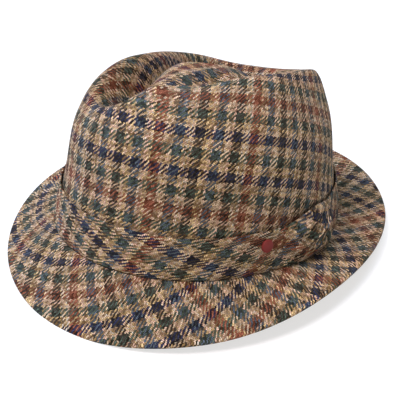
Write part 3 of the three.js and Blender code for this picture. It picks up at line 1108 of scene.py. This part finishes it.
# %% [markdown]
# ## The bow
# The end of the band is gathered on the wearer's left. A cloth simulation would need the hidden knot inside
# it, so the bow is drawn as a cushion over the band. Its pleats spread like a fan from near the foot, with
# finer creases between them, and both of its ends are tucked into the band.

# %% The bow's cushion
BOW_START, BOW_END = 78, 109
BOW_ROUND = 110
BOW_ROWS = 60
BOW_PUFF = 5.2
BOW_EDGE = 0.7
BOW_RISE = 4
FULLEST = 1.3  # 1 is fullest in the middle, and more is fullest nearer to the far end
BOW_FOOT = BAND_THICKNESS * 1.1 + 2 * CLEARANCE
SUNK = 1.2
TUCKED_START = 1 / 6
TUCKED_END = 1 / 9


def tuck(across):
    """How far the bow's two ends go under the band, as a share."""
    start = np.clip(1 - across / TUCKED_START, 0, 1) ** 2
    end = np.clip(1 - (1 - across) / TUCKED_END, 0, 1) ** 2
    return start + end


print("bow, mm long:", round(float(arc_round_the_head(BOW_END) - arc_round_the_head(BOW_START)), 1))

# %% The bow's pleats
PLEATS = 2.6
PLEAT_DEPTH = 0.34
GATHER = 0.5
FAN_FOOT = 0.35
FAN_SPREAD = 1.25
FAN_CLOSES = 0.5
FAN_SLANT = 0.3
CREASES = 2.3
CREASE_DEPTH = 0.4
CREASE_SHIFT = 2


def pleats(across, up):
    """How much fuller or flatter than the plain cushion each place is."""
    fan = (up - FAN_FOOT) * (FAN_SPREAD - FAN_CLOSES * across) - FAN_SLANT * across
    turn = 2 * math.pi * PLEATS * fan
    folds = np.cos(turn) + CREASE_DEPTH * np.sin(CREASES * turn + CREASE_SHIFT * across)
    return 1 + PLEAT_DEPTH * np.sin(math.pi * across) ** GATHER * folds


print("pleats:", PLEATS, "creases:", round(PLEATS * CREASES, 1))

# %% Make the bow
FOLLOWS_MIDDLE = 0.8  # how much the check's columns follow the middle row, where the cloth is gathered
TAKEN_UP = 0.85  # how much of the length up the cushion the check shows


def make_bow():
    angles = np.linspace(BOW_START, BOW_END, BOW_ROUND)
    across = np.linspace(0, 1, BOW_ROUND)[:, None]
    up = np.linspace(0, 1, BOW_ROWS)[None, :]
    swell = np.sin(math.pi * across**FULLEST)
    heights = up * (BAND_HEIGHT + BOW_RISE * swell)
    cushion = np.sqrt(np.maximum(swell * np.sin(math.pi * up), 0))
    skin = BOW_FOOT + BOW_EDGE + BOW_PUFF * cushion * pleats(across, up) - SUNK * tuck(across)
    outside = wall_points(angles, heights, skin)
    inside = wall_points(angles, heights, np.minimum(BOW_FOOT, skin - BOW_EDGE / 2))
    points = np.concatenate([outside, inside[:, ::-1]], axis=1)
    along = length_along(outside)
    middle = along[:, BOW_ROWS // 2][:, None] * FOLLOWS_MIDDLE + along * (1 - FOLLOWS_MIDDLE)
    rise = length_along(outside, axis=1) * TAKEN_UP
    checks = slanted_checks(arc_round_the_head(BOW_START) + middle, rise)
    bow = cloth_object("bow_cloth", points, corners(both_sides(checks)), goes_round=False)
    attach(bow, "root")
    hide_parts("bow")


make_bow()

# %% [markdown]
# ## The stud
# The stud's solid already has the right shape, so it stays, and only gets its enamel: a dark red gloss
# with a slight unevenness, as baked enamel has. Its colour and its roughness follow the same small ripple.

# %% Enamel
ENAMEL_DEEP = (0.16, 0.019, 0.016, 1)
ENAMEL_PALE = (0.21, 0.027, 0.022, 1)
ENAMEL_RIPPLE = {"Scale": 420.0, "Detail": 2.0}
ENAMEL_RELIEF = {"Strength": 0.15, "Distance": 0.0003}
ENAMEL_ROUGHNESS = 0.46
ENAMEL_UNEVENNESS = 0.12
ENAMEL_SHINE = 0.22


def make_enamel():
    enamel = Finish("red enamel")
    place = enamel.node("ShaderNodeTexCoord", output="Object")
    ripple = enamel.node("ShaderNodeTexNoise", {}, {"Vector": place, **ENAMEL_RIPPLE})
    bump = enamel.node("ShaderNodeBump", {}, {**ENAMEL_RELIEF, "Height": ripple})
    colour = enamel.mix(ripple, ENAMEL_DEEP, ENAMEL_PALE)
    enamel.feed(enamel.shader.inputs["Base Color"], colour)
    enamel.feed(enamel.shader.inputs["Roughness"], ENAMEL_ROUGHNESS + ripple * ENAMEL_UNEVENNESS)
    enamel.feed(enamel.shader.inputs["Normal"], bump)
    enamel.feed(enamel.shader.inputs["Specular IOR Level"], ENAMEL_SHINE)
    return enamel.material


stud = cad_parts["stud"]
stud.data.materials.clear()
stud.data.materials.append(make_enamel())
print("stud's finish:", stud.data.materials[0].name)
